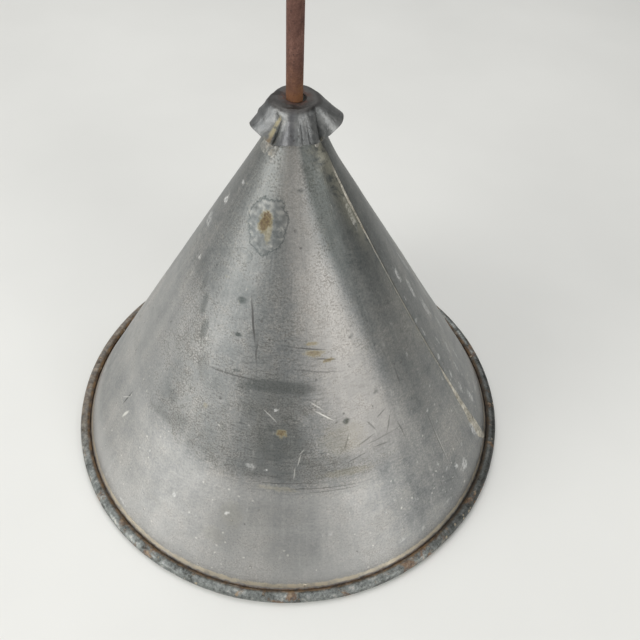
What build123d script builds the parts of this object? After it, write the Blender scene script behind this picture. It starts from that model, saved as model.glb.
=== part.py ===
from build123d import *
import os
from math import cos, degrees, pi, radians, sin, sqrt, tan

# A tinsmith's cone of thin sheet, standing on its wide end. It has a wired rim, a soldered lap seam, a fluted
# cap over the narrow end, and a round rod that slides and turns in the cap and in a strap soldered across the
# inside. Millimetres, +Z up. The origin is on the cone's axis, in the plane that the rim stands on.
# An azimuth is in degrees round the axis from the front (-Y), and grows towards the right (+X).

# The cone: a half disc of sheet, rolled up
HALF_ANGLE = radians(30)
CONE_BASE_R = 114.3  # of the outer face, run on down to the resting plane
SHEET = 0.6
CONE_TOP_Z = 187.0
APEX_Z = CONE_BASE_R / tan(HALF_ANGLE)
WALL = SHEET / cos(HALF_ANGLE)  # the wall's thickness, measured level

# The wired rim: the sheet is curled outward round a wire
CURL_INNER_R = 2.1
CURL_OUTER_R = CURL_INNER_R + SHEET
RIM_WIRE_R = 2.05
RIM_WIRE_GAP = 1.4  # degrees between the wire's two ends
RIM_WEAR = 0.15  # worn off the underside, which leaves a narrow flat ring to stand on
CURL_EDGE = 150  # where the curl's raw edge stops, in degrees round the wire from straight outward
CURL_TANGENT = 180 + degrees(HALF_ANGLE)  # where the wall runs into the curl
BEAD_Z = CURL_OUTER_R - RIM_WEAR

# The lap seam: the outer end of the sheet lies on the inner end, and its raw edge faces right
SEAM_AT_APEX = 64.5  # the raw edge's azimuth, run on up to the apex
SEAM_AT_BASE = 78.9  # and run on down to the resting plane
LAP_WIDTH = 5.0
CLIMB = 24.0  # degrees over which the outer end climbs onto the inner end
LAP_LEVELS = (178.5, 150, 120, 90, 60, 30, 4.5)
LAP_RUN_IN = 1.0  # degrees by which the lap's flat part runs into its climb
SINK = 0.25  # how far a piece that joins the wall is sunk into it
SKIM = 0.05  # how far below the wall's face a slope starts, so that it meets it cleanly

# Solder on the raw edges: at each height, how far it spreads left and right of the edge, and how proud it is
SEAM_SOLDER = (
    (178.0, 0.8, 1.0, 0.15),
    (150, 0.9, 1.2, 0.2),
    (120, 1.0, 1.2, 0.15),
    (90, 1.1, 1.4, 0.2),
    (60, 1.2, 1.6, 0.2),
    (44, 1.6, 1.8, 0.25),
    (30, 4.4, 2.4, 0.4),
    (14, 4.8, 3.0, 0.45),
    (6, 2.2, 2.0, 0.2),
)
INNER_SOLDER_WIDTH = 1.6
INNER_SOLDER_LIFT = 0.15
INNER_SOLDER_EDGE = 0.8 * WALL  # how far up the climbing sheet the fillet's left edge meets it

# The fluted cap: a pressed sheet cap whose flutes flare out from a flat crown
CAP_TOP_Z = 195.1
CROWN_R = 9.7
CROWN_BEVEL = 0.6
CAP_HOLE_R = 3.8
CAP_HOLE_SHIFT = 0.45  # the hole is a little right of the axis
VALLEY_Z = 179.5  # the skirt's lowest points, where the valleys rest on the cone
VALLEY_GAP = 0.12
SKIRT_SHEET = 0.72  # the skirt's thickness, measured level
LIP_RISE = 1.07  # how steeply the skirt's lip rises from a valley to a crest
SKIRT_CUT_Z = 178.0  # the skirt is made this long, then trimmed to its lip
CAP_REACH = 3 * CROWN_R  # a radius beyond every flute
CAP_TRIM_Z = SKIRT_CUT_Z - 1  # where the trimming tool starts
# each flute's left valley, its crest, and its crest's flare from the vertical, all in degrees
FLUTES = ((-97, -72, 38), (-35, 10, 36), (57, 97, 49), (128, 160, 30), (195, 238, 32))
FLUTE_STEPS = 8
FLUTE_FULLNESS = 0.8  # under 1 rounds the flutes and sharpens the valleys
FLARE_END_Z = 184.5  # below this the crests run straight down, all of it trimmed away

# Tacks of solder under the cap: azimuth, spread in degrees, lowest height, and how proud they are
CAP_TACKS = (
    (-97, 16, 174.0, 1.3),
    (-35, 18, 173.5, 1.4),
    (57, 16, 175.0, 1.2),
    (128, 16, 174.0, 1.3),
    (195, 18, 174.5, 1.3),
)
CRUST_AZIMUTH = -66
CRUST_SPREAD = 40
CRUST_Z = (171.0, 181.0)
CRUST_LIFT = 0.9

# The strap that guides the rod: its bent ends are soldered to the inside of the cone, front and back
STRAP_Z = 75.0
STRAP_SHEET = 1.2
STRAP_WIDTH = 16.0
STRAP_TAB_Z = 63.0
STRAP_BEND_R = 2.5
STRAP_TAB_GAP = 0.1
GUIDE_HOLE_R = 3.4
STRAP_SOLDER_Z = (60.5, 77.0)
STRAP_SOLDER_SPREAD = 17.0
STRAP_SOLDER_SHEET = 0.9

# The rod, and what is on it
ROD_R = 3.175
ROD_LENGTH = 304.8
ROD_FOOT_Z = 2.0
ROD_CHAMFER = 0.5
GRIP_LENGTH = 25.0  # the free end above a shallow ring groove
GROOVE_WIDTH = 1.2
GROOVE_DEPTH = 0.3
TRAVEL = 60.0
RUN_GAP = 0.1  # between faces that meet when the rod is at rest or fully lifted
WASHER_R = 9.5
WASHER_HOLE_R = 3.5
WASHER_SHEET = 1.6
WASHER_CHAMFER = 0.32
PIN_R = 1.0
PIN_HOLE_R = 1.1
PIN_HEAD_R = 1.5
PIN_WIRE_R = 0.6
PIN_REACH = 6.6  # how far the legs go past the axis before they bend back
PIN_LEG_BEND = 3.2


def cone_r(z):
    """The radius of the cone's outer face at height z."""
    return (APEX_Z - z) * tan(HALF_ANGLE)


def place(r, azimuth):
    """The point at a radius and an azimuth, in a level plane."""
    return (r * sin(radians(azimuth)), -r * cos(radians(azimuth)))


def upright(azimuth):
    """The upright plane through the axis at an azimuth: local x is outward, and local y is up."""
    outward = (sin(radians(azimuth)), -cos(radians(azimuth)), 0)
    return Plane(origin=(0, 0, 0), x_dir=outward, z_dir=(outward[1], -outward[0], 0))


def turn(length, r):
    """The angle in degrees that an arc of this length takes at a radius."""
    return degrees(length / r)


def level_slice(z, outer, inner):
    """A level face at height z between two arcs, each given as three (azimuth, radius) pairs from left to right."""
    outer_points = [place(r, azimuth) for azimuth, r in outer]
    inner_points = [place(r, azimuth) for azimuth, r in inner]
    with BuildSketch(Plane.XY.offset(z)) as level:
        with BuildLine():
            ThreePointArc(*outer_points)
            Line(outer_points[2], inner_points[2])
            ThreePointArc(*reversed(inner_points))
            Line(inner_points[0], outer_points[0])
        make_face()
    return level.sketch


def seam_azimuth(z):
    """The azimuth of the lap's raw edge on the outside."""
    return SEAM_AT_APEX + (SEAM_AT_BASE - SEAM_AT_APEX) * cone_r(z) / CONE_BASE_R


def inner_edge_azimuth(z):
    """The azimuth of the under sheet's raw edge on the inside."""
    return seam_azimuth(z) - turn(LAP_WIDTH, cone_r(z))


def lap_slice(z):
    """The flat part of the lap, which stands one sheet proud of the cone."""
    r = cone_r(z)
    left, right = inner_edge_azimuth(z) - LAP_RUN_IN, seam_azimuth(z)
    azimuths = (left, (left + right) / 2, right)
    return level_slice(z, [(a, r + WALL) for a in azimuths], [(a, r - SINK) for a in azimuths])


def climb_slice(z):
    """The stretch of the outer end that climbs onto the inner end."""
    r = cone_r(z)
    right = inner_edge_azimuth(z)
    azimuths = (right - CLIMB, right - CLIMB / 2, right)
    outer = list(zip(azimuths, (r - SKIM, r + WALL / 2, r + WALL)))
    return level_slice(z, outer, [(a, r - SINK) for a in azimuths])


def under_climb_slice(z):
    """The hollow inside the climbing stretch, up to the under sheet's raw edge."""
    r = cone_r(z) - WALL
    right = inner_edge_azimuth(z)
    azimuths = (right - CLIMB, right - CLIMB / 2, right)
    outer = list(zip(azimuths, (r - SKIM, r + WALL / 2, r + WALL)))
    return level_slice(z, outer, [(a, r - SINK) for a in azimuths])


def seam_solder_slice(z, left, right, lift):
    """The ridge of solder over the lap's raw edge."""
    r = cone_r(z)
    edge = seam_azimuth(z)
    azimuths = (edge - turn(left, r), edge, edge + turn(right, r))
    outer = list(zip(azimuths, (r + WALL - SKIM, r + WALL + lift, r - SKIM)))
    return level_slice(z, outer, [(a, r - SINK) for a in azimuths])


def inner_solder_slice(z):
    """The fillet of solder in the step at the under sheet's raw edge."""
    r = cone_r(z) - WALL
    edge = inner_edge_azimuth(z)
    spread = turn(INNER_SOLDER_WIDTH, r)
    azimuths = (edge - spread, edge, edge + spread / 2)
    inner = list(zip(azimuths, (r + INNER_SOLDER_EDGE, r - INNER_SOLDER_LIFT, r + SKIM)))
    return level_slice(z, [(a, r + WALL + SINK) for a in azimuths], inner)


def cap_outline(z, inset=0.0, crown=False):
    """The cap's level outline: a curve over each flute, or nearly a circle at the crown."""
    drop = 0 if crown else CROWN_EDGE_Z - z
    crest_drop = min(drop, CROWN_EDGE_Z - FLARE_END_Z)
    valley_r = CROWN_R - inset + drop * VALLEY_FLARE
    with BuildSketch(Plane.XY.offset(z)) as outline:
        with BuildLine():
            for index, (valley, crest, flare) in enumerate(FLUTES):
                next_valley = FLUTES[index + 1][0] if index + 1 < len(FLUTES) else FLUTES[0][0] + 360
                crest_r = CROWN_R - inset + crest_drop * tan(radians(flare))
                points = []
                for step in range(FLUTE_STEPS + 1):
                    share = step / FLUTE_STEPS
                    rise = sin(pi * share) ** FLUTE_FULLNESS
                    if share < 0.5:
                        azimuth = valley + (crest - valley) * 2 * share
                    else:
                        azimuth = crest + (next_valley - crest) * (2 * share - 1)
                    points.append(place(valley_r + (crest_r - valley_r) * rise, azimuth))
                Spline(*points)
        make_face()
    return outline.sketch


# Worked out from the values above
BEAD_R = cone_r(BEAD_Z) + CURL_INNER_R / cos(HALF_ANGLE)
VALLEY_R = cone_r(VALLEY_Z) + VALLEY_GAP + SKIRT_SHEET
CROWN_EDGE_Z = CAP_TOP_Z - CROWN_BEVEL
VALLEY_FLARE = (VALLEY_R - CROWN_R) / (CROWN_EDGE_Z - VALLEY_Z)  # small, so its tangent is itself
STRAP_TOP_Z = STRAP_Z + STRAP_SHEET / 2
UPPER_PIN_Z = STRAP_TOP_Z + WASHER_SHEET + RUN_GAP + PIN_R
FOOT_WASHER_Z = STRAP_Z - STRAP_SHEET / 2 - RUN_GAP - TRAVEL - WASHER_SHEET
LOWER_PIN_Z = FOOT_WASHER_Z - RUN_GAP - PIN_R
PIN_HEIGHTS = (LOWER_PIN_Z, UPPER_PIN_Z)


def at_bead(distance, angle):
    """A point of the rim's section, at a distance from the wire's centre and an angle in degrees from outward."""
    return (BEAD_R + distance * cos(radians(angle)), BEAD_Z + distance * sin(radians(angle)))


with BuildPart() as cone_shell:
    with BuildSketch(Plane.XZ) as wall_section:
        with Locations((BEAD_R, BEAD_Z)):
            Circle(CURL_OUTER_R)
            Circle(CURL_INNER_R, mode=Mode.SUBTRACT)
        with BuildLine() as curl_opening:
            Polyline(
                (BEAD_R, BEAD_Z),
                at_bead(2 * CURL_OUTER_R, CURL_EDGE),
                at_bead(2 * CURL_OUTER_R, CURL_TANGENT),
                close=True,
            )
        make_face(mode=Mode.SUBTRACT)
        with BuildLine() as wall_outline:
            Polyline(
                (cone_r(CONE_TOP_Z), CONE_TOP_Z),
                at_bead(CURL_INNER_R, CURL_TANGENT),
                at_bead(CURL_OUTER_R, CURL_TANGENT),
                (cone_r(CONE_TOP_Z) - WALL, CONE_TOP_Z),
                close=True,
            )
        make_face()
        with Locations((BEAD_R, -CURL_OUTER_R)):
            Rectangle(2 * CURL_OUTER_R, 2 * CURL_OUTER_R, mode=Mode.SUBTRACT)
    revolve(axis=Axis.Z)
    loft([climb_slice(z) for z in LAP_LEVELS], ruled=True)
    loft([lap_slice(z) for z in LAP_LEVELS], ruled=True)
    loft([under_climb_slice(z) for z in LAP_LEVELS], ruled=True, mode=Mode.SUBTRACT)
cone_shell.part.label = "cone_shell"

with BuildPart() as rim_wire:
    with BuildSketch(upright(SEAM_AT_BASE + RIM_WIRE_GAP / 2)):
        with Locations((BEAD_R, BEAD_Z)):
            Circle(RIM_WIRE_R)
    revolve(axis=Axis.Z, revolution_arc=360 - RIM_WIRE_GAP)
rim_wire.part.label = "rim_wire"

with BuildPart() as seam_solder:
    loft([seam_solder_slice(*row) for row in SEAM_SOLDER], ruled=True)
    add(cone_shell.part, mode=Mode.SUBTRACT)
seam_solder.part.label = "seam_solder"

with BuildPart() as inner_seam_solder:
    loft([inner_solder_slice(z) for z in LAP_LEVELS], ruled=True)
    add(cone_shell.part, mode=Mode.SUBTRACT)
inner_seam_solder.part.label = "inner_seam_solder"

with BuildPart() as fluted_cap:
    for bottom_z, top_z in ((CROWN_EDGE_Z, CAP_TOP_Z), (FLARE_END_Z, CROWN_EDGE_Z), (SKIRT_CUT_Z, FLARE_END_Z)):
        crown = top_z == CAP_TOP_Z
        loft([cap_outline(bottom_z), cap_outline(top_z, CROWN_BEVEL if crown else 0, crown)], ruled=True)
    for bottom_z, top_z in ((FLARE_END_Z, CROWN_EDGE_Z), (SKIRT_CUT_Z, FLARE_END_Z)):
        loft([cap_outline(bottom_z, SKIRT_SHEET), cap_outline(top_z, SKIRT_SHEET)], ruled=True, mode=Mode.SUBTRACT)
    with BuildSketch(Plane.XZ) as below_the_lip:
        with BuildLine():
            Polyline(
                (VALLEY_R - (VALLEY_Z - CAP_TRIM_Z) / LIP_RISE, CAP_TRIM_Z),
                (CAP_REACH, CAP_TRIM_Z),
                (CAP_REACH, VALLEY_Z + (CAP_REACH - VALLEY_R) * LIP_RISE),
                close=True,
            )
        make_face()
    revolve(axis=Axis.Z, mode=Mode.SUBTRACT)
    with Locations((CAP_HOLE_SHIFT, 0, CAP_TOP_Z)):
        Hole(CAP_HOLE_R)
fluted_cap.part.label = "fluted_cap"

with BuildPart() as cap_solder:
    for azimuth, spread, low_z, lift in CAP_TACKS:
        with BuildSketch(upright(azimuth - spread / 2)) as tack_section:
            with BuildLine():
                Polyline(
                    (cone_r(low_z), low_z),
                    (cone_r(VALLEY_Z) + lift, VALLEY_Z),
                    (cone_r(VALLEY_Z), VALLEY_Z),
                    close=True,
                )
            make_face()
        revolve(axis=Axis.Z, revolution_arc=spread)
    with BuildSketch(upright(CRUST_AZIMUTH - CRUST_SPREAD / 2)) as crust_section:
        crust_low, crust_high = CRUST_Z
        crust_middle = (crust_low + crust_high) / 2
        with BuildLine():
            ThreePointArc(
                (cone_r(crust_low), crust_low),
                (cone_r(crust_middle) + CRUST_LIFT, crust_middle),
                (cone_r(crust_high), crust_high),
            )
            Line((cone_r(crust_high), crust_high), (cone_r(crust_low), crust_low))
        make_face()
    revolve(axis=Axis.Z, revolution_arc=CRUST_SPREAD)
    for neighbour in (cone_shell, fluted_cap, seam_solder):
        add(neighbour.part, mode=Mode.SUBTRACT)
cap_solder.part.label = "cap_solder"


def strap_y(z):
    """How far out the middle of the strap's sheet lies at height z, with its edges just clear of the wall."""
    wall_r = cone_r(z) - WALL - STRAP_TAB_GAP
    return sqrt(wall_r**2 - (STRAP_WIDTH / 2) ** 2) - STRAP_SHEET / 2 / cos(HALF_ANGLE)


with BuildPart() as guide_strap:
    with BuildSketch(Plane.YZ) as strap_section:
        with BuildLine() as strap_line:
            FilletPolyline(
                (-strap_y(STRAP_TAB_Z), STRAP_TAB_Z),
                (-strap_y(STRAP_Z), STRAP_Z),
                (strap_y(STRAP_Z), STRAP_Z),
                (strap_y(STRAP_TAB_Z), STRAP_TAB_Z),
                radius=STRAP_BEND_R,
            )
        trace(line_width=STRAP_SHEET)
    extrude(amount=STRAP_WIDTH / 2, both=True)
    with Locations((0, 0, STRAP_TOP_Z)):
        Hole(GUIDE_HOLE_R)
guide_strap.part.label = "guide_strap"

with BuildPart() as strap_solder:
    for azimuth in (0, 180):
        with BuildSketch(upright(azimuth - STRAP_SOLDER_SPREAD / 2)) as patch_section:
            low_z, high_z = STRAP_SOLDER_Z
            patch_wall = STRAP_SOLDER_SHEET / cos(HALF_ANGLE)
            with BuildLine():
                Polyline(
                    (cone_r(low_z) - WALL, low_z),
                    (cone_r(high_z) - WALL, high_z),
                    (cone_r(high_z) - WALL - patch_wall, high_z),
                    (cone_r(low_z) - WALL - patch_wall, low_z),
                    close=True,
                )
            make_face()
        revolve(axis=Axis.Z, revolution_arc=STRAP_SOLDER_SPREAD)
    add(guide_strap.part, mode=Mode.SUBTRACT)
strap_solder.part.label = "strap_solder"


def make_washer(z, label):
    """A flat round washer whose lower face is at height z."""
    with BuildPart() as washer:
        with BuildSketch(Plane.XY.offset(z)):
            Circle(WASHER_R)
            Circle(WASHER_HOLE_R, mode=Mode.SUBTRACT)
        extrude(amount=WASHER_SHEET)
        chamfer(washer.edges().sort_by(SortBy.LENGTH)[-2:], WASHER_CHAMFER)
    washer.part.label = label
    return washer.part


rest_washer = make_washer(STRAP_TOP_Z, "rest_washer")
foot_washer = make_washer(FOOT_WASHER_Z, "foot_washer")

with BuildPart() as centre_rod:
    with BuildSketch(Plane.XY.offset(ROD_FOOT_Z)):
        Circle(ROD_R)
    extrude(amount=ROD_LENGTH)
    chamfer(centre_rod.edges(), ROD_CHAMFER)
    with BuildSketch(Plane.XY.offset(ROD_FOOT_Z + ROD_LENGTH - GRIP_LENGTH - GROOVE_WIDTH)):
        Circle(ROD_R)
        Circle(ROD_R - GROOVE_DEPTH, mode=Mode.SUBTRACT)
    extrude(amount=GROOVE_WIDTH, mode=Mode.SUBTRACT)
    for pin_z in PIN_HEIGHTS:
        with Locations((0, 0, pin_z)):
            Cylinder(PIN_HOLE_R, 3 * ROD_R, rotation=(0, 90, 0), mode=Mode.SUBTRACT)
centre_rod.part.label = "centre_rod"

with BuildPart() as split_pins:
    for pin_z in PIN_HEIGHTS:
        head_x = -ROD_R - PIN_HEAD_R - PIN_WIRE_R
        leg_x = PIN_REACH - PIN_LEG_BEND
        with Locations(((head_x + leg_x) / 2 + PIN_HEAD_R / 2, 0, pin_z)):
            Cylinder(PIN_R, leg_x - head_x - PIN_HEAD_R, rotation=(0, 90, 0))
        with Locations((head_x, 0, pin_z)):
            Torus(PIN_HEAD_R, PIN_WIRE_R)
        for side in (-1, 1):
            with BuildLine():
                leg = TangentArc(
                    (leg_x - PIN_WIRE_R, side * (PIN_R - PIN_WIRE_R), pin_z),
                    (PIN_REACH, side * (PIN_LEG_BEND + PIN_R), pin_z),
                    tangent=(1, 0, 0),
                )
            with BuildSketch(Plane(origin=leg @ 0, z_dir=leg % 0)):
                Circle(PIN_WIRE_R)
            sweep(path=leg)
split_pins.part.label = "split_pins"

PIECES = (
    cone_shell.part,
    rim_wire.part,
    seam_solder.part,
    inner_seam_solder.part,
    fluted_cap.part,
    cap_solder.part,
    guide_strap.part,
    strap_solder.part,
    rest_washer,
    foot_washer,
    centre_rod.part,
    split_pins.part,
)

os.makedirs("parts", exist_ok=True)
for piece in PIECES:
    export_step(piece, f"parts/{piece.label}.step")
    print(f"{piece.label}: {len(piece.solids())} solids, {piece.volume:.1f} mm3")
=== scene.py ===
from math import cos, pi, radians, sin, sqrt, tan

import bmesh
import bpy
import numpy as np
from mathutils import Matrix, Vector, noise


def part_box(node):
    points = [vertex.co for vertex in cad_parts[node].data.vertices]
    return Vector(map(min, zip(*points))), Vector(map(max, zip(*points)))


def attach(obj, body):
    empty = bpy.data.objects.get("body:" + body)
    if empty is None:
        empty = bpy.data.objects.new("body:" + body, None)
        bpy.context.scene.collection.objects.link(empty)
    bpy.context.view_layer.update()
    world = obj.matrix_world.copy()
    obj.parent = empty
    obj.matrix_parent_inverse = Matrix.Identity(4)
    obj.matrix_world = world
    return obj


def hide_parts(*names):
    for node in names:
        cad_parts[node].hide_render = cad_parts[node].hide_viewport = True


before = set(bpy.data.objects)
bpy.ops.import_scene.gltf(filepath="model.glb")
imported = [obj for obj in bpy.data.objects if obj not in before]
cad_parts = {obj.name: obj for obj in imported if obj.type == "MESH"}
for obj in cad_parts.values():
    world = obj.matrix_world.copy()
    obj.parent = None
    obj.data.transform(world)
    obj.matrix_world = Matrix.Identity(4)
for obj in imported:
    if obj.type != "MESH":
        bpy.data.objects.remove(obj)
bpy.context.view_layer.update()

# The object's lengths are in millimetres, and MM turns them into the frame's metres. The camera, the lights
# and the floor are placed in metres. An azimuth is in degrees round the cone's axis from the front (-Y), and
# grows towards the right (+X).
MM = 0.001

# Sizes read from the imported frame
CONE_TOP_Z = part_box("cone_shell")[1].z / MM
BEAD_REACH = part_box("cone_shell")[1].x / MM
CAP_TOP_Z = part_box("fluted_cap")[1].z / MM
SEAM_LOW_Z, SEAM_HIGH_Z = (corner.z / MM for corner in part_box("seam_solder"))
INNER_SEAM_LOW_Z, INNER_SEAM_HIGH_Z = (corner.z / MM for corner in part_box("inner_seam_solder"))

# The cone's sheet
HALF_ANGLE = radians(30)
CONE_BASE_R = 114.3
APEX_Z = CONE_BASE_R / tan(HALF_ANGLE)
SHEET = 0.6
WALL = SHEET / cos(HALF_ANGLE)
OUT_R, OUT_Z = cos(HALF_ANGLE), sin(HALF_ANGLE)  # the wall's outward direction
WALL_ROWS, CURL_ROWS = 150, 34

# The curl round the rim's wire
CURL_R = 2.4  # to the middle of the sheet
BEAD_R = BEAD_REACH - CURL_R - SHEET / 2
BEAD_Z = 2.55
CURL_START, CURL_END = 210, 510
DROOP_FROM = 0.75  # the share of the curl after which its end sags

# The lap seam, with the heights over which the overlap widens and its upper sheet lifts, at foot and top
SEAM_AT_APEX, SEAM_AT_BASE = 64.5, 78.9
LAP_WIDTH = 5.0
LAP_LIFT = SHEET + 0.02
LAP_LEAST_R = 8  # nearer the apex than this, the overlap's angle stops growing
LAP_FOOT, LAP_TOP = (6.4, 9.5), (174, 170)
LIFT_FOOT, LIFT_TOP = (4.4, 6.4), (178.4, 174)
LAP_COLUMNS = 6
CLIMB = 24.0  # degrees over which the lifted sheet comes back to the true cone
CLIMB_COLUMNS = 25
UNDER_EDGE = 359.94  # where the lower sheet ends, in degrees past the overlap
ROUND_COLUMNS = 356

# Dents and knocks: how far each one moves the sheet, the size of its noise and the noise's seed
BROAD_DENT, FINE_DENT = (0.26, 47, 3.1), (0.07, 15, 8.4)
KNOCK_IN, TAP_IN, KNOCK_UP = (0.28, 23, 5.5), (0.12, 6.5, 1.7), (0.16, 17, 9.2)
DROOP = (0.35, 11, 2.2)
FLAT_FRONT = (0.16, 1, 11)  # a flat down the front: its depth, azimuth and half-width in degrees
RIM_NOISE_R = 115  # where the rim's noises are read


def cone_r(z):
    """The radius of the cone's outer face at height z."""
    return (APEX_Z - z) * tan(HALF_ANGLE)


def seam_azimuth(r):
    """The azimuth of the lap's raw edge at a radius."""
    return SEAM_AT_APEX + (SEAM_AT_BASE - SEAM_AT_APEX) * min(r / CONE_BASE_R, 1)


def centred(azimuth):
    """The same azimuth between -180 and 180."""
    return (azimuth + 180) % 360 - 180


def turn(length, r):
    """The angle in degrees that an arc of this length takes at a radius."""
    return length / r * 180 / pi


def smooth(value, low, high):
    """0 up to low, 1 from high on, and a smooth step between them; high may be below low."""
    share = np.clip((value - low) / (high - low), 0, 1)
    return share * share * (3 - 2 * share)


def bell(value, centre, width):
    """1 at the centre, falling away on both sides."""
    return float(np.exp(-(((value - centre) / width) ** 2)))


def wobble(x, y, size, seed):
    """Smooth noise about 0, in about -1 to 1."""
    return noise.noise(Vector((x / size, y / size, seed)))


def push(x, y, most, size, seed):
    """Smooth noise between 0 and the most that it moves a point."""
    return most * (0.5 + 0.5 * wobble(x, y, size, seed))


def lap_lift(z):
    """How far the upper sheet stands off the cone at the lap."""
    return LAP_LIFT * float(smooth(z, *LIFT_FOOT) * smooth(z, *LIFT_TOP))


# ------------------------ camera and light

# The camera was solved from the rim's ellipse, the cone's two outlines and the rod in the photo
CAMERA_PLACE = (0.0143, -0.2287, 0.3332)
LOOK_DOWN, ROLL = radians(49.0), 0.05937678
SENSOR_WIDTH, LENS = 36, 38.75

# Each light's place, the point that it faces, its width, height, power and colour
AREA_LIGHTS = {
    "light_left": ((-1.15, -0.72, 0.62), (0, 0, 0.08), 0.9, 1.0, 13, (1.0, 0.985, 0.96)),
    "light_right": ((0.85, -0.85, 0.55), (0, 0, 0.08), 0.5, 0.9, 6, (1.0, 0.985, 0.965)),
    "light_top": ((-0.2, 0.35, 1.5), (0, 0, 0), 1.2, 1.2, 9, (1, 1, 1)),
}
ROOM_POWER = 0.46

scene = bpy.context.scene
scene.view_settings.view_transform = "Standard"


def add_object(name, data):
    added = bpy.data.objects.new(name, data)
    scene.collection.objects.link(added)
    return added


camera_data = bpy.data.cameras.new("camera")
camera_data.sensor_width = SENSOR_WIDTH
camera_data.lens = LENS
camera_data.clip_start = 0.01
camera = add_object("camera", camera_data)
camera.matrix_world = (
    Matrix.Translation(CAMERA_PLACE)
    @ Matrix.Rotation(pi / 2 - LOOK_DOWN, 4, "X")
    @ Matrix.Rotation(ROLL, 4, "Z")
)
scene.camera = camera

for light_name, (place, target, width, height, power, colour) in AREA_LIGHTS.items():
    light_data = bpy.data.lights.new(light_name, "AREA")
    light_data.shape = "RECTANGLE"
    light_data.size, light_data.size_y = width, height
    light_data.energy = power
    light_data.color = colour
    light = add_object(light_name, light_data)
    light.location = place
    light.rotation_euler = (Vector(target) - Vector(place)).to_track_quat("-Z", "Y").to_euler()


# ------------------------ material nodes

def rgb(red, green, blue):
    """A colour from its display values, 0 to 255."""
    linear = []
    for value in (red, green, blue):
        share = value / 255
        linear.append(share / 12.92 if share <= 0.04045 else ((share + 0.055) / 1.055) ** 2.4)
    return (*linear, 1)


class Value:
    """A socket, with the arithmetic, fades and noises that add nodes to its graph."""

    def __init__(self, graph, socket):
        self.graph, self.socket = graph, socket

    def __mul__(self, other):
        return self.graph.math("MULTIPLY", self, other)

    def __add__(self, other):
        return self.graph.math("ADD", self, other)

    def __sub__(self, other):
        return self.graph.math("SUBTRACT", self, other)

    def __rsub__(self, other):
        return self.graph.math("SUBTRACT", other, self)

    def __abs__(self):
        return self.graph.math("ABSOLUTE", self)

    def __or__(self, other):
        """The larger of two masks."""
        return self.graph.math("MAXIMUM", self, other)

    def fade(self, low, high, at_low=0.0, at_high=1.0):
        """A smooth step from one value at low to another at high; high may be below low."""
        values = {"Value": self, "From Min": low, "From Max": high, "To Min": at_low, "To Max": at_high}
        return self.graph.out("MapRange", values, interpolation_type="SMOOTHSTEP")

    def between(self, rise, fall):
        """The product of two fades, each given by its low, its high and what it has there."""
        return self.fade(*rise) * self.fade(*fall)

    def ramp(self, *stops):
        """A colour ramp from pairs of a position and a colour."""
        made = self.graph.node("ValToRGB", {"Fac": self})
        ramp = made.color_ramp
        while len(ramp.elements) < len(stops):
            ramp.elements.new(0.5)
        for element, (position, colour) in zip(ramp.elements, stops):
            element.position = position
            element.color = colour
        return Value(self.graph, made.outputs[0])

    def vector(self, operation, values, output=0):
        return self.graph.out("VectorMath", {0: self, **values}, output, operation=operation)

    def parts(self):
        return [Value(self.graph, part) for part in self.graph.node("SeparateXYZ", {0: self}).outputs]

    def toward(self, aim):
        """The cosine of the angle between two unit vectors."""
        return self.vector("DOT_PRODUCT", {1: aim}, "Value")

    def noise(self, size, detail, roughness=0.5, distortion=0.0, stretch=None):
        point = self if stretch is None else self.vector("MULTIPLY", {1: stretch})
        values = {"Vector": point, "Scale": 1 / size, "Detail": detail, "Roughness": roughness,
                  "Distortion": distortion}
        return self.graph.out("TexNoise", values)

    def shifted(self, size, amount):
        """The point moved about by noise, in millimetres, which makes a mark's outline uneven."""
        cloud = self.graph.out("TexNoise", {"Vector": self, "Scale": 1 / size, "Detail": 3.0}, "Color")
        about_zero = cloud.vector("SUBTRACT", {1: (0.5, 0.5, 0.5)})
        return self.vector("ADD", {1: about_zero.vector("SCALE", {"Scale": 2 * amount})})

    def specks(self, spacing, edge, core, size, amount):
        """Spots with uneven outlines at about one spacing, 0 outside their edge and 1 in their core."""
        values = {"Vector": self.shifted(size, amount), "Scale": 1 / spacing}
        return self.graph.out("TexVoronoi", values, "Distance").fade(edge, core)


class Graph:
    """A material's or world's nodes. What goes into a node is a number, a colour or a Value."""

    def __init__(self, owner, shader, output):
        owner.use_nodes = True
        self.owner = owner
        self.tree = owner.node_tree
        self.tree.nodes.clear()
        self.shader = self.node(shader)
        self.tree.links.new(self.shader.outputs[0], self.node(output).inputs["Surface"])

    def node(self, kind, values=None, **settings):
        made = self.tree.nodes.new("ShaderNode" + kind)
        for name, value in settings.items():
            setattr(made, name, value)
        for name, value in (values or {}).items():
            self.put(made.inputs[name], value)
        return made

    def out(self, kind, values=None, output=0, **settings):
        """One output of a new node."""
        return Value(self, self.node(kind, values, **settings).outputs[output])

    def put(self, socket, value):
        if isinstance(value, Value):
            self.tree.links.new(value.socket, socket)
        else:
            socket.default_value = value

    def set(self, name, value):
        self.put(self.shader.inputs[name], value)

    def math(self, operation, a, b=0.0):
        return self.out("Math", {0: a, 1: b}, operation=operation)

    def mix(self, share, under, over):
        return self.out("Mix", {0: share, 6: under, 7: over}, 2, data_type="RGBA")


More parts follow.
